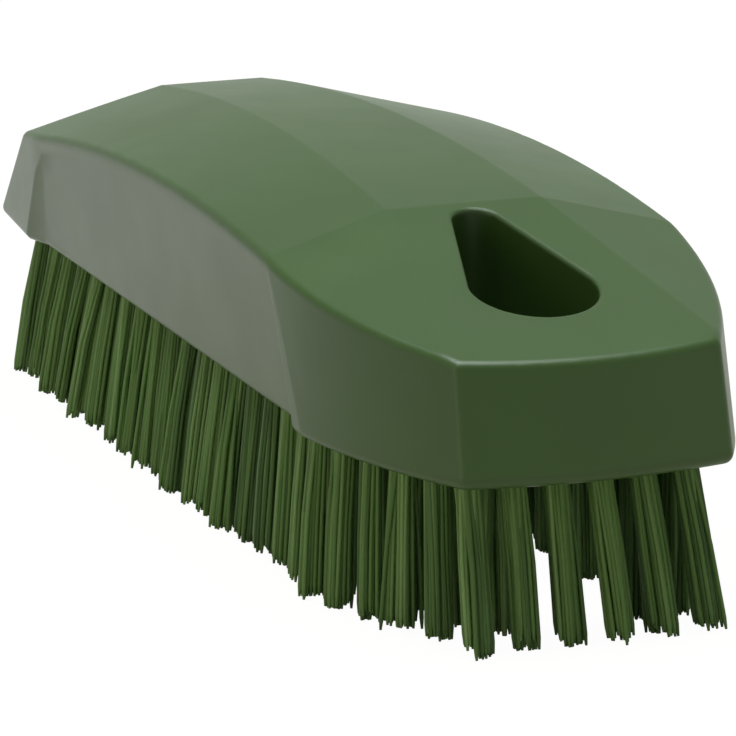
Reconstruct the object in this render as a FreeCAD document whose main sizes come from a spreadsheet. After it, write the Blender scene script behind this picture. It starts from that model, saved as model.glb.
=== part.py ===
import FreeCAD, Part
import math
import os

import Sketcher

Vector = FreeCAD.Vector

# Hand nail brush: one moulded block, tufts set in blind holes drilled in its underside,
# and a flat steel anchor across the fold of each tuft.
# X runs from the thin rear end to the end with the hang hole, Z is up.
# The tips of the bristles stand on Z = 0 and the block starts at bristle_length.
# Block heights below are measured from its underside, and an inset from its rear tip, its front
# tip or its side. All sizes are in millimetres.

SIZES = {
    # Outline of the underside
    "overall_length": 130.0,
    "rear_radius": 82.0,
    "front_radius": 58.0,
    "side_half": 20.83,
    "side_taper_length": 21.6,
    "rear_corner_inset": 2.3,
    "rear_taper": 1.83,
    "shoulder_length": 32.0,
    "shoulder_swell": 0.47,
    "shoulder_radius": 64.0,
    # Lean of the walls, as run per rise
    "rear_lean_share": 1.21,
    "front_lean_share": 0.255,
    "shoulder_lean_share": 0.30,
    "side_lean_share": 0.024,
    # Arched top: centre band, then the side bands at the middle line and at the outer edge
    "blank_height": 23.0,
    "blank_margin": 0.7,
    "arch_inset": 2.3,
    "centre_rear_height": 13.7,
    "centre_rise": 3.55,
    "band_end_inset": 29.0,
    "band_inner_rear_height": 15.4,
    "band_inner_front_height": 19.85,
    "band_inner_rise": 3.95,
    "band_outer_rear_height": 8.45,
    "band_outer_front_height": 15.0,
    "band_outer_rise": 4.55,
    # Flat panels that fall to the front end
    "panel_length": 36.0,
    "panel_start_height": 18.8,
    "panel_tip_height": 10.6,
    "panel_side_height": 20.44,
    "panel_side_tip_height": 13.52,
    "panel_side_slope_share": 0.2022,
    # Finger scoop in each side
    "scoop_rim_swell": 0.37,
    "scoop_depth": 2.0,
    "scoop_rear_inset": 19.0,
    "scoop_front_inset": 31.5,
    "scoop_rim_rear_inset": 24.6,
    "scoop_rim_front_inset": 32.8,
    "scoop_rim_rear_height": 12.0,
    "scoop_rim_front_height": 14.66,
    "scoop_rim_rise": 2.4,
    "scoop_rear_lip_inset": 10.9,
    "scoop_front_lip_inset": 25.3,
    # Hang hole, a slot that widens towards the front
    "hang_front_inset": 17.75,
    "hang_front_radius": 6.15,
    "hang_rear_inset": 32.3,
    "hang_rear_radius": 2.4,
    # Rounded edges
    "outer_edge_radius": 1.0,
    "hang_edge_radius": 0.4,
    # Tufts and their holes
    "bristle_length": 16.0,
    "tuft_hole_diameter": 2.7,
    "tuft_hole_depth": 7.5,
    "tuft_fit_gap": 0.03,
    "tuft_tip_diameter": 3.0,
    # Straight rows of tufts, from the outermost inwards
    "row_pitch": 5.0,
    "row_gap": 4.87,
    "row_1_side_inset": 2.2,
    "row_1_rear_inset": 13.1,
    "row_1_front_inset": 31.0,
    "row_2_rear_inset": 17.7,
    "row_2_front_inset": 27.0,
    "row_3_rear_inset": 17.7,
    "row_3_front_inset": 22.0,
    "row_4_rear_inset": 17.7,
    "row_4_front_inset": 37.0,
    # Row across the rear end and row across the front end, which is set a little to one side
    "rear_row_inset": 12.7,
    "front_row_inset": 5.4,
    "front_row_pitch": 4.3,
    "front_row_left_inset": 3.0,
    "front_row_right_inset": 4.3,
    # Bowed rows along the shoulders, which are set a little to one side too
    "shoulder_row_left_inset": 2.5,
    "shoulder_row_right_inset": 4.6,
    "shoulder_row_rear_inset": 25.7,
    "shoulder_row_front_inset": 8.6,
    "inner_shoulder_row_left_inset": 7.4,
    "inner_shoulder_row_right_inset": 8.2,
    "inner_shoulder_row_rear_inset": 22.4,
    "inner_shoulder_row_front_inset": 8.7,
    # Spread of the bristles, as run per length of bristle: sideways at the outermost rows, until it
    # fades out towards the front, and backwards at the rear end, and how the front row fans out
    "side_spread_share": 0.135,
    "spread_fade_inset": 57.0,
    "spread_end_inset": 10.0,
    "rear_spread_share": 0.19,
    "rear_spread_reach": 36.0,
    "front_fan_share": 0.1,
    "front_spread_share": 0.17,
    "front_drift_share": 0.054,
    # Anchors
    "anchor_thickness": 0.3,
    "anchor_height": 1.6,
    "anchor_fold": 0.9,
    "anchor_fit_gap": 0.02,
    # How far a cut runs past what it cuts
    "overrun": 3.0,
    # Choice of the edges to round: how near a level counts as on it, the shortest edge, and how much
    # of a face's normal has to point up for the face to belong to the top
    "level_reach": 0.03,
    "shortest_edge": 3.0,
    "top_face_share": 0.85,
}

doc = FreeCAD.newDocument("nail_brush")
sheet = doc.addObject("Spreadsheet::Sheet", "sizes")
for line, (alias, number) in enumerate(SIZES.items(), start=1):
    sheet.set(f"A{line}", alias)
    sheet.set(f"B{line}", str(number))
    sheet.setAlias(f"B{line}", alias)
doc.recompute()


def value(text):
    """Number that an expression on the sheet gives."""
    return float(sheet.evalExpression(text))


def plane_of(body, role):
    """Origin plane of a body."""
    return next(plane for plane in body.Origin.OriginFeatures if plane.Role == role)


def new_sketch(body, label, role, level):
    """Empty sketch on an origin plane, or on one parallel to it."""
    sketch = body.newObject("Sketcher::SketchObject", label)
    sketch.AttachmentSupport = (plane_of(body, role), [""])
    sketch.MapMode = "FlatFace"
    if level:
        sketch.setExpression("AttachmentOffset.Base.z", level)
    return sketch


def bind(sketch, kind, *where, size):
    """Constraint whose datum follows the sheet."""
    number = sketch.addConstraint(Sketcher.Constraint(kind, *where, value(size)))
    sketch.setExpression(f"Constraints[{number}]", size)


def outline(body, label, role, corners, rises=None, level=None):
    """Closed outline through corners. An edge with a rise is an arc that stands left of it."""
    sketch = new_sketch(body, label, role, level)
    rises = rises or {}
    points = [Vector(value(across), value(along), 0) for across, along in corners]
    starts = []
    ends = []
    for edge, start in enumerate(points):
        end = points[(edge + 1) % len(points)]
        if edge not in rises:
            geometry = sketch.addGeometry(Part.LineSegment(start, end))
            starts.append((geometry, 1))
            ends.append((geometry, 2))
            continue
        run = end - start
        left = Vector(-run.y, run.x, 0).normalize()
        middle = (start + end) / 2 + left * value(rises[edge])
        geometry = sketch.addGeometry(Part.Arc(start, middle, end))
        turned = sketch.getPoint(geometry, 1).distanceToPoint(start) > run.Length / 2
        starts.append((geometry, 2 if turned else 1))
        ends.append((geometry, 1 if turned else 2))
    for edge in range(len(points)):
        following = starts[(edge + 1) % len(points)]
        sketch.addConstraint(Sketcher.Constraint("Coincident", *ends[edge], *following))
        bind(sketch, "DistanceX", -1, 1, *starts[edge], size=corners[edge][0])
        bind(sketch, "DistanceY", -1, 1, *starts[edge], size=corners[edge][1])
    for edge, rise in rises.items():
        (x1, y1), (x2, y2) = corners[edge], corners[(edge + 1) % len(points)]
        chord_squared = f"((({x2}) - ({x1}))^2 + (({y2}) - ({y1}))^2)"
        radius = f"({chord_squared} / 4 + ({rise})^2) / (2 * abs({rise}))"
        bind(sketch, "Radius", starts[edge][0], size=radius)
    return sketch


def pocket(body, label, profile, direction, length):
    """Cut that sweeps a profile along a leaning direction, by length along the sketch's normal."""
    before = body.Tip.Shape.Volume
    cut = body.newObject("PartDesign::Pocket", label)
    cut.Profile = profile
    cut.UseCustomVector = True
    cut.Direction = direction
    cut.AlongSketchNormal = True
    cut.setExpression("Length", length)
    doc.recompute()
    if not cut.Shape.Volume < before:
        raise RuntimeError(f"{label} cuts nothing")
    return cut


def loft_cut(body, label, sections):
    """Cut bounded by straight lines from one section to the next."""
    cut = body.newObject("PartDesign::SubtractiveLoft", label)
    cut.Profile = sections[0]
    cut.Sections = sections[1:]
    cut.Ruled = True
    doc.recompute()
    return cut


HALF_LENGTH = "sizes.overall_length / 2"
SHOULDER_HALF = "(sizes.side_half + sizes.shoulder_swell)"
BLANK_HALF = f"({SHOULDER_HALF} + sizes.blank_margin)"
SCOOP_HALF = "(sizes.side_half + sizes.scoop_rim_swell - sizes.scoop_depth)"
CUT_HALF = f"({BLANK_HALF} + sizes.overrun)"
CUT_REACH = f"({HALF_LENGTH} + sizes.overrun)"
CUT_TOP = "(sizes.blank_height + sizes.overrun)"


def from_rear(inset):
    """Place along the brush, by its inset from the rear tip."""
    return f"(sizes.{inset} - {HALF_LENGTH})"


def from_front(inset):
    """Place along the brush, by its inset from the front tip."""
    return f"({HALF_LENGTH} - sizes.{inset})"


def arc_rise(radius, half_chord):
    """Rise of an arc of a radius over half its chord."""
    return f"({radius} - sqrt({radius}^2 - ({half_chord})^2))"


def sharp_reach(end):
    """Reach of an end before its edge is rounded, so that the rounded block has its overall length."""
    lean = f"sizes.{end}_lean_share"
    return f"({HALF_LENGTH} + sizes.outer_edge_radius * ({lean} + sqrt({lean}^2 + 1) - 1))"


def cut_end_walls(body):
    """Bowed end walls, the rear one leaning far forward over the bristles."""
    rise = arc_rise("sizes.front_radius", CUT_HALF)
    edge = f"{sharp_reach('front')} - {rise}"
    far = f"{CUT_REACH} + sizes.front_lean_share * sizes.blank_height"
    corners = [(edge, f"-{CUT_HALF}"), (edge, CUT_HALF), (far, CUT_HALF), (far, f"-{CUT_HALF}")]
    profile = outline(body, "front_wall_profile", "XY_Plane", corners, {0: f"-{rise}"})
    lean = Vector(-value("sizes.front_lean_share"), 0, 1)
    pocket(body, "front_wall", profile, lean, CUT_TOP)

    rise = arc_rise("sizes.rear_radius", CUT_HALF)
    edge = f"-({sharp_reach('rear')} - {rise})"
    far = f"-({CUT_REACH} + sizes.rear_lean_share * {CUT_TOP})"
    corners = [(edge, f"-{CUT_HALF}"), (edge, CUT_HALF), (far, CUT_HALF), (far, f"-{CUT_HALF}")]
    profile = outline(body, "rear_wall_profile", "XY_Plane", corners, {0: rise})
    lean = Vector(value("sizes.rear_lean_share"), 0, 1)
    pocket(body, "rear_wall", profile, lean, CUT_TOP)


def cut_side_wall(body):
    """Side wall, drawn in towards the rear end."""
    run = "(sizes.side_taper_length - sizes.rear_corner_inset)"
    taper = f"sizes.rear_taper * (sizes.side_taper_length + sizes.overrun) / {run}"
    corners = [
        (CUT_REACH, "-sizes.side_half"),
        (from_rear("side_taper_length"), "-sizes.side_half"),
        (f"-{CUT_REACH}", f"-(sizes.side_half - {taper})"),
        (f"-{CUT_REACH}", f"-{CUT_HALF}"),
        (CUT_REACH, f"-{CUT_HALF}"),
    ]
    profile = outline(body, "side_wall_profile", "XY_Plane", corners)
    lean = Vector(0, -value("sizes.side_lean_share"), 1)
    return pocket(body, "side_wall", profile, lean, CUT_TOP)


def cut_shoulder(body):
    """Bowed wall from the side to the front corner."""
    run = "(sizes.shoulder_length + sizes.overrun)"
    drop = arc_rise("sizes.shoulder_radius", run)
    rise = arc_rise("sizes.shoulder_radius", f"sqrt({run}^2 + {drop}^2) / 2")
    corners = [
        (from_front("shoulder_length"), f"-{SHOULDER_HALF}"),
        (CUT_REACH, f"-({SHOULDER_HALF} - {drop})"),
        (CUT_REACH, f"-{CUT_HALF}"),
        (from_front("shoulder_length"), f"-{CUT_HALF}"),
    ]
    profile = outline(body, "shoulder_profile", "XY_Plane", corners, {0: f"-{rise}"})
    lean = Vector(-value("sizes.shoulder_lean_share"), 0, 1)
    return pocket(body, "shoulder", profile, lean, CUT_TOP)


def cut_side_band(body):
    """Arched side band of the top, which falls from the middle line to the outer edge."""
    sections = []
    for place, level in (("inner", None), ("outer", BLANK_HALF)):
        corners = [
            (from_rear("arch_inset"), CUT_TOP),
            (from_front("band_end_inset"), CUT_TOP),
            (from_front("band_end_inset"), f"sizes.band_{place}_front_height"),
            (from_rear("arch_inset"), f"sizes.band_{place}_rear_height"),
        ]
        rises = {2: f"-sizes.band_{place}_rise"}
        label = f"side_band_{place}_profile"
        sections.append(outline(body, label, "XZ_Plane", corners, rises, level))
    return loft_cut(body, "side_band", sections)


def cut_side_panel(body):
    """Flat three-cornered panel between the shoulder and the front panel."""
    slope = "((sizes.panel_side_height - sizes.panel_side_tip_height) / sizes.panel_length)"
    top = f"{CUT_TOP} + sizes.panel_side_slope_share * {CUT_HALF}"
    low = f"sizes.panel_side_height - {slope} * (sizes.panel_length + sizes.overrun)"
    high = f"sizes.panel_side_height + {slope} * {from_front('panel_length')}"
    corners = [("0", top), (CUT_REACH, top), (CUT_REACH, low), ("0", high)]
    profile = outline(body, "side_panel_profile", "XZ_Plane", corners)
    lean = Vector(0, -1, -value("sizes.panel_side_slope_share"))
    return pocket(body, "side_panel", profile, lean, CUT_HALF)


def cut_scoop(body):
    """Finger scoop, a face that leans in under an arched rim, with a three-cornered face at each end."""
    inner = {}
    outer = {}
    reach = f"(({BLANK_HALF} - {SCOOP_HALF}) / sizes.scoop_depth)"
    for end, place, way in (("rear", from_rear, "-"), ("front", from_front, "+")):
        foot = place(f"scoop_{end}_inset")
        lip = f"(sizes.scoop_{end}_inset - sizes.scoop_{end}_lip_inset)"
        rim = f"(sizes.scoop_{end}_inset - sizes.scoop_rim_{end}_inset)"
        sink = f"sizes.overrun * ({lip} - {rim}) / sizes.scoop_rim_{end}_height"
        inner[end] = [(f"{foot} {way} {sink}", "-sizes.overrun"), (foot, "0")]
        outer[end] = [
            (f"{foot} {way} ({reach} * {lip} + {sink})", "-sizes.overrun"),
            (f"{foot} {way} {reach} * {rim}", f"{reach} * sizes.scoop_rim_{end}_height"),
        ]
    sections = []
    for label, ends, rises, level in (
        ("scoop_inner_profile", inner, None, SCOOP_HALF),
        ("scoop_outer_profile", outer, {2: f"-{reach} * sizes.scoop_rim_rise"}, BLANK_HALF),
    ):
        corners = [ends["rear"][0], *ends["front"], ends["rear"][1]]
        sections.append(outline(body, label, "XZ_Plane", corners, rises, level))
    return loft_cut(body, "scoop", sections)


def cut_centre_top(body):
    """Centre band of the arch and the flat panel that falls from it to the front end."""
    slope = "((sizes.panel_start_height - sizes.panel_tip_height) / sizes.panel_length)"
    low = f"sizes.panel_start_height - {slope} * (sizes.panel_length + sizes.overrun)"
    corners = [
        (from_rear("arch_inset"), CUT_TOP),
        (CUT_REACH, CUT_TOP),
        (CUT_REACH, low),
        (from_front("panel_length"), "sizes.panel_start_height"),
        (from_rear("arch_inset"), "sizes.centre_rear_height"),
    ]
    profile = outline(body, "centre_top_profile", "XZ_Plane", corners, {3: "-sizes.centre_rise"})
    cut = body.newObject("PartDesign::Pocket", "centre_top")
    cut.Profile = profile
    cut.SideType = "Symmetric"
    cut.setExpression("Length", f"2 * {CUT_HALF}")
    doc.recompute()


def cut_hang_hole(body):
    """Slot right through the block, with a wide round front and a narrow round rear."""
    distance = value("sizes.hang_rear_inset - sizes.hang_front_inset")
    turn = math.asin(value("sizes.hang_front_radius - sizes.hang_rear_radius") / distance)
    sketch = new_sketch(body, "hang_hole_profile", "XY_Plane", None)
    arcs = []
    for end, start_angle, end_angle in (
        ("front", -math.pi / 2 - turn, math.pi / 2 + turn),
        ("rear", math.pi / 2 + turn, 3 * math.pi / 2 - turn),
    ):
        centre = Vector(value(from_front(f"hang_{end}_inset")), 0, 0)
        circle = Part.Circle(centre, Vector(0, 0, 1), value(f"sizes.hang_{end}_radius"))
        arcs.append(sketch.addGeometry(Part.ArcOfCircle(circle, start_angle, end_angle)))
    front, rear = arcs
    for first, second in (((front, 2), (rear, 1)), ((rear, 2), (front, 1))):
        line = sketch.addGeometry(
            Part.LineSegment(sketch.getPoint(*first), sketch.getPoint(*second))
        )
        sketch.addConstraint(Sketcher.Constraint("Tangent", *first, line, 1))
        sketch.addConstraint(Sketcher.Constraint("Tangent", *second, line, 2))
    for arc, end in ((front, "front"), (rear, "rear")):
        bind(sketch, "DistanceX", -1, 1, arc, 3, size=from_front(f"hang_{end}_inset"))
        bind(sketch, "DistanceY", -1, 1, arc, 3, size="0")
        bind(sketch, "Radius", arc, size=f"sizes.hang_{end}_radius")
    pocket(body, "hang_hole", sketch, Vector(0, 0, 1), CUT_TOP)


def make_block():
    """Block of moulded plastic."""
    body = doc.addObject("PartDesign::Body", "block")
    body.Label = "block"
    body.setExpression("Placement.Base.z", "sizes.bristle_length")
    corners = [
        (f"-{sharp_reach('rear')}", f"-{BLANK_HALF}"),
        (sharp_reach("front"), f"-{BLANK_HALF}"),
        (sharp_reach("front"), BLANK_HALF),
        (f"-{sharp_reach('rear')}", BLANK_HALF),
    ]
    blank = body.newObject("PartDesign::Pad", "blank")
    blank.Profile = outline(body, "blank_profile", "XY_Plane", corners)
    blank.setExpression("Length", "sizes.blank_height")
    doc.recompute()
    cut_end_walls(body)
    left = [cut_side_wall(body), cut_shoulder(body), cut_side_band(body), cut_side_panel(body)]
    left.append(cut_scoop(body))
    mirror = body.newObject("PartDesign::Mirrored", "right_side")
    mirror.Originals = left
    mirror.MirrorPlane = (plane_of(body, "XZ_Plane"), [""])
    body.Tip = mirror
    doc.recompute()
    cut_centre_top(body)
    cut_hang_hole(body)
    return body


def joins_top(shape, edge):
    """Whether an edge of a shape lies between the top and a wall."""
    middle = edge.valueAt((edge.FirstParameter + edge.LastParameter) / 2)
    faces = shape.ancestorsOfType(edge, Part.Face)
    rises = [face.normalAt(*face.Surface.parameter(middle)).z for face in faces]
    return min(rises) < value("sizes.top_face_share") < max(rises)


def round_edges(body, label, radius, wanted):
    """Fillet on each edge of the body whose two ends satisfy wanted."""
    base = body.Tip
    names = []
    for number, edge in enumerate(base.Shape.Edges, start=1):
        ends = sorted((vertex.Point for vertex in edge.Vertexes), key=lambda point: point.z)
        if wanted(edge, ends[0], ends[-1]):
            names.append(f"Edge{number}")
    fillet = body.newObject("PartDesign::Fillet", label)
    fillet.Base = (base, names)
    fillet.setExpression("Radius", radius)
    doc.recompute()
    return fillet


def round_block(body):
    """Soft edges of the moulding. Ends are given lowest first."""
    touch = value("sizes.level_reach")
    short = value("sizes.shortest_edge")
    wall = value("sizes.panel_tip_height") / 2
    rear_lip = value(from_rear("scoop_rear_lip_inset"))
    front_lip = value(from_front("scoop_front_lip_inset"))
    hang_near = value(f"{from_front('hang_rear_inset')} - sizes.hang_rear_radius - sizes.overrun")
    hang_half = value("sizes.hang_front_radius + sizes.hang_edge_radius")

    def on_hole(edge):
        box = edge.BoundBox
        return box.XMin > hang_near and max(abs(box.YMin), abs(box.YMax)) < hang_half

    def outer(edge, low, high):
        """Edge of the underside, upright corners and edge of the top."""
        if on_hole(edge):
            return False
        underside = high.z < touch
        corner = low.z < touch and high.z > wall and not rear_lip < low.x < front_lip
        return underside or corner or joins_top(body.Tip.Shape, edge)

    def hang_rim(edge, low, high):
        return on_hole(edge) and low.z > wall and edge.Length > short

    def hang_base(edge, low, high):
        return on_hole(edge) and high.z < touch

    round_edges(body, "outer_rounding", "sizes.outer_edge_radius", outer)
    round_edges(body, "hang_rim_rounding", "sizes.hang_edge_radius", hang_rim)
    round_edges(body, "hang_base_rounding", "sizes.hang_edge_radius", hang_base)


def on_shoulder(along, inset):
    """Distance from the middle of a line that runs inside the shoulder wall, at the depth of the holes."""
    radius = value("sizes.shoulder_radius")
    lean = value("sizes.shoulder_lean_share * sizes.tuft_hole_depth")
    run = along - value(from_front("shoulder_length")) + lean
    return value(SHOULDER_HALF) - radius + math.sqrt((radius - inset) ** 2 - run**2)


def evenly(start, end, pitch):
    """Places from start to end, about a pitch apart."""
    steps = round((end - start).Length / pitch)
    return [start + (end - start) * step / steps for step in range(steps + 1)]


def bowed_row(name, side):
    """Places of a row that follows a shoulder."""
    start = Vector(value(from_front(f"{name}_rear_inset")), 0, 0)
    end = Vector(value(from_front(f"{name}_front_inset")), 0, 0)
    inset = value(f"sizes.{name}_{'left' if side < 0 else 'right'}_inset")
    start.y = on_shoulder(start.x, inset)
    end.y = on_shoulder(end.x, inset)
    places = evenly(start, end, value("sizes.row_pitch"))
    return [Vector(place.x, side * on_shoulder(place.x, inset), 0) for place in places]


def row_half(number):
    """Distance of a straight row from the middle, the first row being the outermost."""
    return value(f"{SCOOP_HALF} - sizes.row_1_side_inset - {number - 1} * sizes.row_gap")


def straight_row(number, side):
    """Places of a row along the brush."""
    half = row_half(number)
    start = value(from_rear(f"row_{number}_rear_inset"))
    pitch = value("sizes.row_pitch")
    steps = math.floor((value(from_front(f"row_{number}_front_inset")) - start) / pitch)
    return [Vector(start + pitch * step, side * half, 0) for step in range(steps + 1)]


def tuft_rows():
    """Places of the tufts, by the name of their row."""
    rows = {}
    for side, numbers in ((-1, (1, 2, 3, 4)), (1, (4, 3, 2, 1))):
        for number in numbers:
            rows[f"row_{len(rows) + 1}"] = straight_row(number, side)
    for side, end in ((-1, "a"), (1, "b")):
        rows[f"shoulder_{end}"] = bowed_row("shoulder_row", side)
        rows[f"inner_shoulder_{end}"] = bowed_row("inner_shoulder_row", side)
    along = value(from_front("front_row_inset"))
    left = Vector(along, -on_shoulder(along, 0) + value("sizes.front_row_left_inset"), 0)
    right = Vector(along, on_shoulder(along, 0) - value("sizes.front_row_right_inset"), 0)
    rows["front"] = evenly(left, right, value("sizes.front_row_pitch"))
    halves = [row_half(number) for number in (2, 3, 4)]
    across = [-half for half in halves] + halves[::-1]
    rows["rear"] = [Vector(value(from_rear("rear_row_inset")), half, 0) for half in across]
    return rows


def drill(body, places):
    """Blind holes for the tufts, all of one size."""
    sketch = new_sketch(body, "tuft_hole_profile", "XY_Plane", None)
    radius = "sizes.tuft_hole_diameter / 2"
    for number, place in enumerate(places):
        sketch.addGeometry(Part.Circle(place, Vector(0, 0, 1), value(radius)))
        sketch.addConstraint(Sketcher.Constraint("DistanceX", -1, 1, number, 3, place.x))
        sketch.addConstraint(Sketcher.Constraint("DistanceY", -1, 1, number, 3, place.y))
        if number:
            sketch.addConstraint(Sketcher.Constraint("Equal", 0, number))
    bind(sketch, "Radius", 0, size=radius)
    pocket(body, "tuft_holes", sketch, Vector(0, 0, 1), "sizes.tuft_hole_depth")


def spread(name, place):
    """Run of a tuft's free part, along and across, per length."""
    outwards = place.y / row_half(1)
    if name == "front":
        fan = value("sizes.front_fan_share") * outwards + value("sizes.front_drift_share")
        return Vector(value("sizes.front_spread_share"), fan, 0)
    to_end = value(from_front("spread_end_inset")) - place.x
    left = to_end / value("sizes.spread_fade_inset - sizes.spread_end_inset")
    across = value("sizes.side_spread_share") * outwards * min(1, max(0, left))
    from_row = place.x - value(from_rear("rear_row_inset"))
    behind = max(0, 1 - from_row / value("sizes.rear_spread_reach"))
    return Vector(-value("sizes.rear_spread_share") * behind, across, 0)


def group(label, solids):
    """One sub-part that is a group of separate solids, drawn from the underside of the block."""
    feature = doc.addObject("Part::Feature", label)
    feature.Label = label
    feature.Shape = Part.makeCompound(solids)
    feature.setExpression("Placement.Base.z", "sizes.bristle_length")
    return feature


def anchor(place, gap):
    """Flat steel strip across a tuft hole, with a gap all round."""
    thickness = value("sizes.anchor_thickness") + 2 * gap
    width = value("sizes.tuft_hole_diameter - 2 * sizes.anchor_fit_gap") + 2 * gap
    height = value("sizes.anchor_height") + 2 * gap
    top = value("sizes.tuft_hole_depth - sizes.anchor_fold") + gap
    corner = place + Vector(-thickness / 2, -width / 2, top - height)
    return Part.makeBox(thickness, width, height, corner)


def tuft(place, lean):
    """Bundle of bristles folded over its anchor: a round stem in its hole, then a widening brush."""
    gap = value("sizes.tuft_fit_gap")
    stem = value("sizes.tuft_hole_diameter") / 2 - gap
    up = Vector(0, 0, 1)
    circles = (
        (place + up * (value("sizes.tuft_hole_depth") - gap), stem),
        (place, stem),
        (place + (lean - up) * value("sizes.bristle_length"), value("sizes.tuft_tip_diameter") / 2),
    )
    wires = [Part.Wire(Part.Circle(centre, up, radius).toShape()) for centre, radius in circles]
    bundle = Part.makeLoft(wires, True, True)
    return bundle.cut(anchor(place, value("sizes.anchor_fit_gap")))


block = make_block()
round_block(block)
rows = tuft_rows()
drill(block, [place for places in rows.values() for place in places])
parts = [block]
for name, places in rows.items():
    parts.append(group(f"tufts_{name}", [tuft(place, spread(name, place)) for place in places]))
    parts.append(group(f"anchors_{name}", [anchor(place, 0) for place in places]))
doc.recompute()

faults = [item.Name for item in doc.Objects if {"Invalid", "Error"} & set(item.State)]
faults += [part.Label for part in parts if part.Shape.isNull() or not part.Shape.isValid()]
if faults:
    raise RuntimeError(f"these objects failed: {faults}")

os.makedirs("parts", exist_ok=True)
for part in parts:
    part.Shape.exportStep(f"parts/{part.Label}.step")
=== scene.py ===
import math
import random

import bmesh
import bpy
from mathutils import Matrix, Vector


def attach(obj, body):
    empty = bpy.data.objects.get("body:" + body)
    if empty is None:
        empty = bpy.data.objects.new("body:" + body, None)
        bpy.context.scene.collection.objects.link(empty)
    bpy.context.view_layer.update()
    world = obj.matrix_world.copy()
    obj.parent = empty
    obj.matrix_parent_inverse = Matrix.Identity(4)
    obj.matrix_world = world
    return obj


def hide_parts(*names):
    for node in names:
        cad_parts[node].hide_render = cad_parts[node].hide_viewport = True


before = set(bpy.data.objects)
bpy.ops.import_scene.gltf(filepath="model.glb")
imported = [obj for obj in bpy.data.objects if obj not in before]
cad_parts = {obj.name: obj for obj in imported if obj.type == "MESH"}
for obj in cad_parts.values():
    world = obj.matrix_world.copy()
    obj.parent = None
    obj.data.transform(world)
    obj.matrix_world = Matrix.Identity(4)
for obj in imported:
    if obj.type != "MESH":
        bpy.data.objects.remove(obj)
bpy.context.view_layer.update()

# One-piece nail brush: a moulded block and tufts of filament, each held in its hole by an anchor.
# X runs from the thin rear end to the end with the hang hole, Z is up and the bristle tips
# stand on Z = 0. Lengths are in metres.

MM = 0.001
UNDERSIDE = 16 * MM

# Camera, fitted to the outline of the block: its lens and the width of its sensor are in
# millimetres, and how far it sees is in metres
CAMERA_PLACE = Vector((0.52724, -0.19445, 0.15402))
CAMERA_RIGHT = Vector((0.348326, 0.937366, -0.003612))
CAMERA_UP = Vector((-0.229209, 0.088909, 0.969308))
CAMERA_LENS = 277.5
CAMERA_SENSOR = 36.0
CAMERA_SIGHT = 20.0

# Bristles: the filaments of one tuft, the strands that they stick together in, the radius of the
# tuft where it leaves its hole, and how deep in the hole the filaments start
FILAMENTS = 62
FILAMENT_DIAMETER = 0.44 * MM
STRANDS = 7
ROOT_RADIUS = 1.35 * MM
ROOT_DEPTH = 1.2 * MM

# Trimmed end of a filament: its length and the share of the diameter that is left at its tip
CUT_LENGTH = 1.1 * MM
CUT_SHARE = 0.55

# How far from the middle of the brush the tips may stand, along it and across it
REACH = 64.6 * MM
HALF_WIDTH = 21.0 * MM

# Chance in a tuft. The twist in radians is even up to a limit, and the rest here and below are
# standard deviations: where the tips stand, and the slope that they are trimmed to.
SEED = 41
TUFT_TWIST = 0.3
TUFT_DRIFT = 0.18 * MM
TUFT_SLOPE = 0.2

# Chance in a strand: where its tips stand, how much higher they are trimmed, and its shade
STRAND_DRIFT = 0.16 * MM
STRAND_CUT = 0.3 * MM
STRAND_SHADE = 0.45
STRAND_SHADE_SPREAD = 0.22

# Chance in a filament, and the usual and the lowest height of its tip
FILAMENT_DRIFT = 0.06 * MM
FILAMENT_BEND = 0.05 * MM
FILAMENT_SHADE_SPREAD = 0.07
TIP_HEIGHT = 0.55 * MM
TIP_HEIGHT_SPREAD = 0.22 * MM
TIP_LOWEST = 0.05 * MM

# Bow half way down, as a share of the strand's drift and of the level run from root to tip
STRAND_BEND_SHARE = 0.4
BOW_SHARE = 0.04

# Stray filaments in the skin of a tuft: where the skin begins as a share of the radius, the share
# of its filaments that stray, how many times further they drift, and how much lower they end
STRAY_SKIN = 0.8
STRAY_CHANCE = 0.09
STRAY_DRIFT = 8
STRAY_CUT = -1.0 * MM

# How near corners count as one, and how near a level they count as on it
SAME_POINT = 0.001 * MM
SAME_LEVEL = 0.01 * MM

# Faces of the block: the turn in degrees within a flat face and at a sharp edge, and how far the
# large faces rule the shading, in per cent
FLAT_TURN = 0.3
SHARP_TURN = 16
FACE_WEIGHT = 80

# Shallow creases of the block that stay sharp, by the ranges that their edges lie in: turn in
# degrees, then in millimetres the place along the brush, the distance from its middle line, the
# level of the lower end and the length
NO_LIMIT = math.inf
CREASES = {
    "along_back": {
        "turn": (9, NO_LIMIT),
        "along": (-NO_LIMIT, 29.2),
        "half": (5, 8.6),
        "low": (32.5, NO_LIMIT),
    },
    "across_back": {
        "turn": (3, NO_LIMIT),
        "along": (28, 31.5),
        "low": (31.5, NO_LIMIT),
        "length": (5, NO_LIMIT),
    },
    "along_panel": {
        "turn": (9, NO_LIMIT),
        "along": (29, 59),
        "half": (8, 13.5),
        "low": (27.5, NO_LIMIT),
        "length": (10, NO_LIMIT),
    },
    "rim_of_scoop": {
        "turn": (4.5, 10),
        "half": (21.1, NO_LIMIT),
        "low": (26, 32.3),
        "length": (2.8, NO_LIMIT),
    },
}

# Rounding that the mould leaves on the creases
CREASE_RADIUS = 0.6 * MM

# Light of the surroundings: on all things, and added in what the gloss mirrors, where it fades
# between two heights, as the sine of the angle above the horizon
WORLD_FILL = 0.12
WORLD_GLOSS = 0.42
WORLD_GLOSS_HIGH = 0.22
FADE_START = 0.2
FADE_END = 0.6

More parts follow.
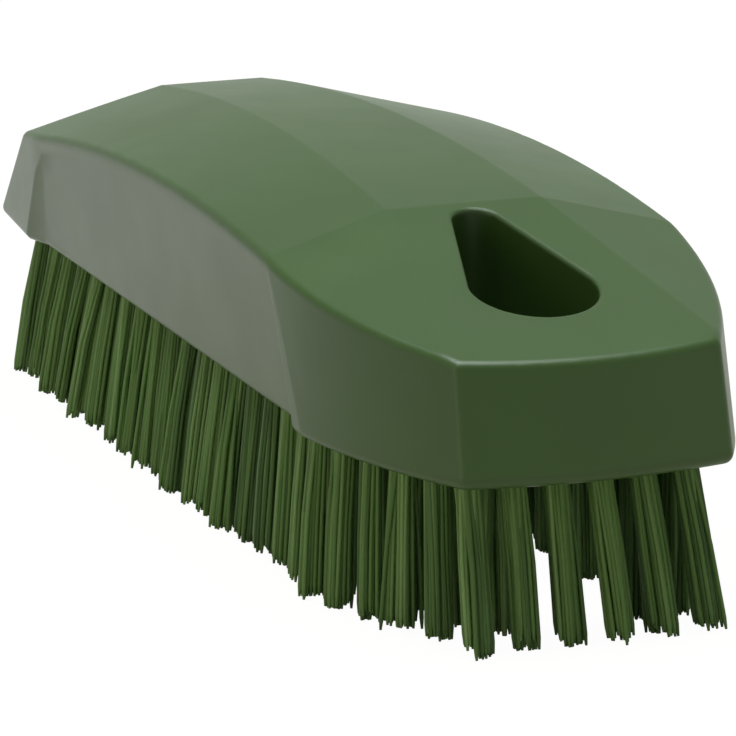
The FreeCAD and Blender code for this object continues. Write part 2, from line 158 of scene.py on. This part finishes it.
# Floor: its half side in metres, its own light, and the share of that light in what the camera and
# the gloss see, which for the gloss falls between two places along the brush
FLOOR_REACH = 4.0
FLOOR_LIGHT = 1.08
FLOOR_GLOW = 0.9
FLOOR_GLOSS = 0.82
FLOOR_GLOSS_FRONT = 0.28
FALL_START = -120 * MM
FALL_END = 40 * MM

# Lamps: place and side in metres, power in watts and colour
SOFTBOXES = {
    "softbox_above": ((-0.1, 0.0, 1.2), 0.8, 16.0, "F4FCFF"),
    "softbox_left": ((0.3, -0.9, 0.3), 0.5, 0.8, "FFEBCF"),
}


def linear(code):
    """Linear colour of an sRGB hex value."""
    channels = [int(code[start:start + 2], 16) / 255 for start in (0, 2, 4)]
    return [c / 12.92 if c <= 0.04045 else ((c + 0.055) / 1.055) ** 2.4 for c in channels] + [1.0]


def add_node(owner, kind, settings=None, links=None):
    """Node of a material or world, with the values of its inputs or fields and what feeds them."""
    tree = owner.node_tree
    node = tree.nodes.new(kind)
    for name, setting in (settings or {}).items():
        if name in node.inputs:
            node.inputs[name].default_value = setting
        else:
            setattr(node, name, setting)
    for name, source in (links or {}).items():
        tree.links.new(source, node.inputs[name])
    return node


def new_material(name):
    """Empty material with its output node."""
    material = bpy.data.materials.new(name)
    material.use_nodes = True
    material.node_tree.nodes.clear()
    output = add_node(material, "ShaderNodeOutputMaterial")
    return material, output.inputs["Surface"]


def ramp(material, source, stops):
    """Colour ramp over a value, by its stops as position and hex colour."""
    node = add_node(material, "ShaderNodeValToRGB", links={"Fac": source})
    elements = node.color_ramp.elements
    while len(elements) < len(stops):
        elements.new(1.0)
    for element, (position, code) in zip(elements, stops):
        element.position = position
        element.color = linear(code)
    return node.outputs["Color"]


def multiply_add(owner, *terms):
    """First term times the second plus the third, each a number or the output of a node."""
    node = add_node(owner, "ShaderNodeMath", {"operation": "MULTIPLY_ADD"})
    for slot, term in zip(node.inputs, terms):
        if isinstance(term, float):
            slot.default_value = term
        else:
            owner.node_tree.links.new(term, slot)
    return node.outputs["Value"]


def mix_shaders(material, share, first, second):
    """Two shaders, by the share of the second, which is a number or the output of a node."""
    node = add_node(material, "ShaderNodeMixShader")
    if isinstance(share, float):
        node.inputs["Fac"].default_value = share
    else:
        material.node_tree.links.new(share, node.inputs["Fac"])
    for slot, shader in zip(list(node.inputs)[1:], (first, second)):
        material.node_tree.links.new(shader, slot)
    return node.outputs["Shader"]


def moulded_polypropylene():
    """Injection-moulded polypropylene: an even green, a satin gloss and a faint orange peel."""
    material, surface = new_material("moulded_polypropylene_green")
    place = add_node(material, "ShaderNodeTexCoord").outputs["Object"]
    # Clouds of colour where the melt flowed, about 20 mm across
    flow = add_node(
        material, "ShaderNodeTexNoise", {"Scale": 50.0, "Detail": 2.0}, {"Vector": place}
    )
    colour = ramp(material, flow.outputs["Fac"], ((0.35, "3D5A27"), (0.65, "415F2A")))
    # Sheen that varies with the polish of the mould, about 6 mm across
    polish = add_node(
        material, "ShaderNodeTexNoise", {"Scale": 160.0, "Detail": 3.0}, {"Vector": place}
    )
    gloss = add_node(
        material,
        "ShaderNodeMapRange",
        {"To Min": 0.3, "To Max": 0.38},
        {"Value": polish.outputs["Fac"]},
    )
    # Orange peel, about 0.8 mm across
    peel = add_node(
        material, "ShaderNodeTexNoise", {"Scale": 1200.0, "Detail": 1.0}, {"Vector": place}
    )
    crease = add_node(material, "ShaderNodeBevel", {"samples": 6, "Radius": CREASE_RADIUS})
    bump = add_node(
        material,
        "ShaderNodeBump",
        {"Strength": 0.05, "Distance": 0.02 * MM},
        {"Height": peel.outputs["Fac"], "Normal": crease.outputs["Normal"]},
    )
    shader = add_node(
        material,
        "ShaderNodeBsdfPrincipled",
        {"IOR": 1.49},
        {"Base Color": colour, "Roughness": gloss.outputs["Result"], "Normal": bump.outputs["Normal"]},
    )
    material.node_tree.links.new(shader.outputs["BSDF"], surface)
    return material


def extruded_polyester():
    """Extruded polyester filament: smooth, waxy green, each one a little lighter or darker."""
    material, surface = new_material("extruded_polyester_filament_green")
    shade = add_node(material, "ShaderNodeAttribute", {"attribute_name": "shade"})
    colour = ramp(
        material, shade.outputs["Fac"], ((0.0, "5E8248"), (0.5, "86B064"), (1.0, "B2D890"))
    )
    skin = add_node(
        material,
        "ShaderNodeBsdfPrincipled",
        {"IOR": 1.5, "Roughness": 0.55},
        {"Base Color": colour},
    )
    glow = add_node(material, "ShaderNodeBsdfTranslucent", links={"Color": colour})
    # Four tenths of the light goes through the filament
    shader = mix_shaders(material, 0.4, skin.outputs["BSDF"], glow.outputs["BSDF"])
    material.node_tree.links.new(shader, surface)
    return material


def rolled_stainless():
    """Flat stainless wire, rolled and cut: grey, with fine lines along the strip."""
    material, surface = new_material("rolled_stainless_wire")
    place = add_node(material, "ShaderNodeTexCoord").outputs["Object"]
    # Lines of the rolling, about 0.12 mm wide and 2.5 mm long
    along = add_node(
        material, "ShaderNodeMapping", {"Scale": (8000.0, 400.0, 8000.0)}, {"Vector": place}
    )
    lines = add_node(
        material, "ShaderNodeTexNoise", {"Scale": 1.0}, {"Vector": along.outputs["Vector"]}
    )
    gloss = add_node(
        material,
        "ShaderNodeMapRange",
        {"To Min": 0.25, "To Max": 0.4},
        {"Value": lines.outputs["Fac"]},
    )
    shader = add_node(
        material,
        "ShaderNodeBsdfPrincipled",
        {"Base Color": linear("C9C8C4"), "Metallic": 1.0},
        {"Roughness": gloss.outputs["Result"]},
    )
    material.node_tree.links.new(shader.outputs["BSDF"], surface)
    return material


def add_piece(name, mesh, material, *nodes):
    """Piece that rides with the brush and stands for CAD nodes."""
    piece = bpy.data.objects.new(name, mesh)
    bpy.context.scene.collection.objects.link(piece)
    mesh.materials.clear()
    mesh.materials.append(material)
    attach(piece, "root")
    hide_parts(*nodes)
    return piece


def measures_of(edge):
    """Turn of an edge in degrees, and in millimetres its place, its level and its length."""
    ends = [vertex.co / MM for vertex in edge.verts]
    middle = (ends[0] + ends[1]) / 2
    return {
        "turn": math.degrees(edge.calc_face_angle(0.0)),
        "along": middle.x,
        "half": abs(middle.y),
        "low": min(end.z for end in ends),
        "length": (ends[1] - ends[0]).length,
    }


def is_crease(edge):
    """Whether an edge belongs to one of the creases that stay sharp."""
    measures = measures_of(edge)
    return any(
        all(least < measures[name] < most for name, (least, most) in ranges.items())
        for ranges in CREASES.values()
    )


def make_block(material):
    """Block, smooth but for its creases."""
    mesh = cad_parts["block"].data.copy()
    shape = bmesh.new()
    shape.from_mesh(mesh)
    bmesh.ops.remove_doubles(shape, verts=shape.verts, dist=SAME_POINT)
    # Whole flat faces, so that the shading runs evenly over each
    bmesh.ops.dissolve_limit(
        shape,
        angle_limit=math.radians(FLAT_TURN),
        verts=shape.verts,
        edges=shape.edges,
    )
    for face in shape.faces:
        face.smooth = True
    for edge in shape.edges:
        if len(edge.link_faces) == 2:
            shallow = edge.calc_face_angle(0.0) < math.radians(SHARP_TURN)
            edge.smooth = shallow and not is_crease(edge)
    shape.to_mesh(mesh)
    shape.free()
    piece = add_piece("block_moulding", mesh, material, "block")
    weigh = piece.modifiers.new("even_faces", "WEIGHTED_NORMAL")
    weigh.weight = FACE_WEIGHT
    weigh.keep_sharp = True
    return piece


def tuft_axes(node):
    """Root centre, tip centre and tip radius of each tuft of a CAD node."""
    shape = bmesh.new()
    shape.from_mesh(node.data)
    bmesh.ops.remove_doubles(shape, verts=shape.verts, dist=SAME_POINT)
    left = set(shape.verts)
    axes = []
    # The corners of a tuft hang together by edges, and those of two tufts don't
    while left:
        found = {left.pop()}
        border = set(found)
        while border:
            border = {edge.other_vert(v) for v in border for edge in v.link_edges} - found
            found |= border
        left -= found
        rings = []
        for level in (UNDERSIDE, 0.0):
            ring = [v.co for v in found if abs(v.co.z - level) < SAME_LEVEL]
            low = Vector(map(min, *ring))
            high = Vector(map(max, *ring))
            rings.append(((low + high) / 2, (high.x - low.x) / 2))
        axes.append((rings[0][0], rings[1][0], rings[1][1]))
    shape.free()
    return sorted(axes, key=lambda axis: (round(axis[0].x / MM, 1), round(axis[0].y / MM, 1)))


def sideways_chance(draw, spread):
    """Chance offset along X and Y, with one standard deviation for both."""
    return Vector((draw.gauss(0, spread), draw.gauss(0, spread), 0))


def held(number, limit):
    """Number kept between a limit and its negative."""
    return min(max(number, -limit), limit)


def filament_lines(root, tip, radius, draw):
    """Line and shade of each filament of one tuft. Filaments that stick together make a strand."""
    # A spiral by the golden angle fills the round of the tuft evenly
    golden = math.pi * (3 - math.sqrt(5))
    start_turn = draw.uniform(0, 2 * math.pi)
    twist = Matrix.Rotation(draw.uniform(-TUFT_TWIST, TUFT_TWIST), 3, "Z")
    tuft_drift = sideways_chance(draw, TUFT_DRIFT)
    slope = sideways_chance(draw, TUFT_SLOPE)
    strands = []
    for _ in range(STRANDS):
        strand_drift = sideways_chance(draw, STRAND_DRIFT)
        cut = draw.gauss(0, STRAND_CUT)
        strands.append((strand_drift, cut, draw.gauss(STRAND_SHADE, STRAND_SHADE_SPREAD)))
    root_radius = ROOT_RADIUS - FILAMENT_DIAMETER / 2
    tip_radius = radius - FILAMENT_DIAMETER / 2
    lines = []
    for number in range(FILAMENTS):
        out = math.sqrt((number + 0.5) / FILAMENTS)
        angle = start_turn + number * golden
        way = Vector((math.cos(angle), math.sin(angle), 0))
        strand_drift, cut, shade = strands[int(angle / (2 * math.pi) % 1 * STRANDS)]
        drift = sideways_chance(draw, FILAMENT_DRIFT)
        # Strays drift further, end lower and take the darkest shade: painted shade for the shadowed
        # dark spikes at the tips
        if out > STRAY_SKIN and draw.random() < STRAY_CHANCE:
            drift *= STRAY_DRIFT
            cut = STRAY_CUT
            shade = 0.0
        end = tip + twist @ way * out * tip_radius + tuft_drift + strand_drift + drift
        end.x = held(end.x, REACH)
        end.y = held(end.y, HALF_WIDTH)
        level = draw.gauss(TIP_HEIGHT, TIP_HEIGHT_SPREAD) + cut + slope.dot(end - tip)
        end.z = max(TIP_LOWEST, level)
        base = root + way * out * root_radius
        run = end - base
        run.z = 0
        bend = sideways_chance(draw, FILAMENT_BEND) + strand_drift * STRAND_BEND_SHARE
        middle = base.lerp(end, 0.5) + bend + run * BOW_SHARE
        near_end = end + (middle - end).normalized() * CUT_LENGTH
        line = (base + Vector((0, 0, ROOT_DEPTH)), base, middle, near_end, end)
        shade += draw.gauss(0, FILAMENT_SHADE_SPREAD)
        lines.append((line, min(1.0, max(0.0, shade))))
    return lines


def make_tufts(node_name, material, draw):
    """Tufts of one row, as separate filaments."""
    curve = bpy.data.curves.new(f"{node_name}_lines", "CURVE")
    curve.dimensions = "3D"
    curve.bevel_depth = FILAMENT_DIAMETER / 2
    curve.bevel_resolution = 1
    curve.use_fill_caps = True
    lines = []
    for root, tip, radius in tuft_axes(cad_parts[node_name]):
        lines += filament_lines(root, tip, radius, draw)
    for line, _ in lines:
        spline = curve.splines.new("POLY")
        spline.points.add(len(line) - 1)
        for point, place in zip(spline.points, line):
            point.co = (*place, 1.0)
        spline.points[-1].radius = CUT_SHARE
    holder = bpy.data.objects.new(f"{node_name}_lines", curve)
    mesh = bpy.data.meshes.new_from_object(holder)
    bpy.data.objects.remove(holder)
    bpy.data.curves.remove(curve)
    shades = mesh.attributes.new("shade", "FLOAT", "POINT")
    per_filament = len(mesh.vertices) // len(lines)
    values = []
    for _, shade in lines:
        values += [shade] * per_filament
    shades.data.foreach_set("value", values)
    # The sides are smooth and the cut ends are flat
    for polygon in mesh.polygons:
        polygon.use_smooth = len(polygon.vertices) == 4
    piece = add_piece(node_name.replace("tufts", "bristles"), mesh, material, node_name)
    return piece


def make_floor():
    """Plain white floor that the brush stands on."""
    material, surface = new_material("matt_white_paper")
    path = add_node(material, "ShaderNodeLightPath")
    # The light falls off from the rear to the front of the table
    place = add_node(material, "ShaderNodeTexCoord").outputs["Object"]
    axes = add_node(material, "ShaderNodeSeparateXYZ", links={"Vector": place})
    fall = add_node(
        material,
        "ShaderNodeMapRange",
        {
            "interpolation_type": "SMOOTHSTEP",
            "From Min": FALL_START,
            "From Max": FALL_END,
            "To Min": FLOOR_GLOSS,
            "To Max": FLOOR_GLOSS_FRONT,
        },
        {"Value": axes.outputs["X"]},
    )
    gloss = multiply_add(material, path.outputs["Is Glossy Ray"], fall.outputs["Result"], 0.0)
    share = multiply_add(material, path.outputs["Is Camera Ray"], FLOOR_GLOW, gloss)
    paper = add_node(material, "ShaderNodeBsdfDiffuse", {"Color": linear("B8B49C")})
    glow = add_node(
        material, "ShaderNodeEmission", {"Color": linear("FFFFFF"), "Strength": FLOOR_LIGHT}
    )
    shader = mix_shaders(material, share, paper.outputs["BSDF"], glow.outputs["Emission"])
    material.node_tree.links.new(shader, surface)
    mesh = bpy.data.meshes.new("floor")
    shape = bmesh.new()
    bmesh.ops.create_grid(shape, x_segments=1, y_segments=1, size=FLOOR_REACH)
    shape.to_mesh(mesh)
    shape.free()
    mesh.materials.append(material)
    floor = bpy.data.objects.new("floor", mesh)
    bpy.context.scene.collection.objects.link(floor)


def light_world():
    """Even studio surroundings, which the camera and the gloss see as white."""
    world = bpy.data.worlds.new("studio")
    world.use_nodes = True
    world.node_tree.nodes.clear()
    path = add_node(world, "ShaderNodeLightPath")
    # Brightest at the horizon, where the backdrop is lit
    way = add_node(world, "ShaderNodeTexCoord").outputs["Generated"]
    height = add_node(world, "ShaderNodeSeparateXYZ", links={"Vector": way})
    fade = add_node(
        world,
        "ShaderNodeMapRange",
        {
            "From Min": FADE_START,
            "From Max": FADE_END,
            "To Min": WORLD_GLOSS,
            "To Max": WORLD_GLOSS_HIGH,
        },
        {"Value": height.outputs["Z"]},
    )
    gloss = multiply_add(world, path.outputs["Is Glossy Ray"], fade.outputs["Result"], WORLD_FILL)
    strength = multiply_add(world, path.outputs["Is Camera Ray"], 1.0 - WORLD_FILL, gloss)
    sky = add_node(
        world,
        "ShaderNodeBackground",
        {"Color": linear("FFFFFF")},
        {"Strength": strength},
    )
    output = add_node(world, "ShaderNodeOutputWorld")
    world.node_tree.links.new(sky.outputs["Background"], output.inputs["Surface"])
    bpy.context.scene.world = world


def add_softbox(name, place, size, power, colour):
    """Square lamp that points at the brush."""
    lamp = bpy.data.lights.new(name, "AREA")
    lamp.shape = "SQUARE"
    lamp.size = size
    lamp.energy = power
    lamp.color = linear(colour)[:3]
    holder = bpy.data.objects.new(name, lamp)
    bpy.context.scene.collection.objects.link(holder)
    holder.location = place
    holder.rotation_euler = (-Vector(place)).to_track_quat("-Z", "Y").to_euler()


def place_camera():
    """Camera at the photograph's viewing angle."""
    camera = bpy.data.cameras.new("camera")
    camera.lens = CAMERA_LENS
    camera.sensor_width = CAMERA_SENSOR
    camera.clip_end = CAMERA_SIGHT
    holder = bpy.data.objects.new("camera", camera)
    bpy.context.scene.collection.objects.link(holder)
    back = CAMERA_RIGHT.cross(CAMERA_UP)
    turn = Matrix((CAMERA_RIGHT, CAMERA_UP, back)).transposed()
    holder.matrix_world = Matrix.Translation(CAMERA_PLACE) @ turn.to_4x4()
    bpy.context.scene.camera = holder


draw = random.Random(SEED)
plastic = moulded_polypropylene()
filament = extruded_polyester()
steel = rolled_stainless()

make_block(plastic)
for node_name in sorted(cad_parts):
    if node_name.startswith("tufts_"):
        make_tufts(node_name, filament, draw)
    elif node_name.startswith("anchors_"):
        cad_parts[node_name].data.materials[0] = steel

make_floor()
light_world()
for name, (place, size, power, colour) in SOFTBOXES.items():
    add_softbox(name, place, size, power, colour)
place_camera()
bpy.context.scene.view_settings.view_transform = "Standard"
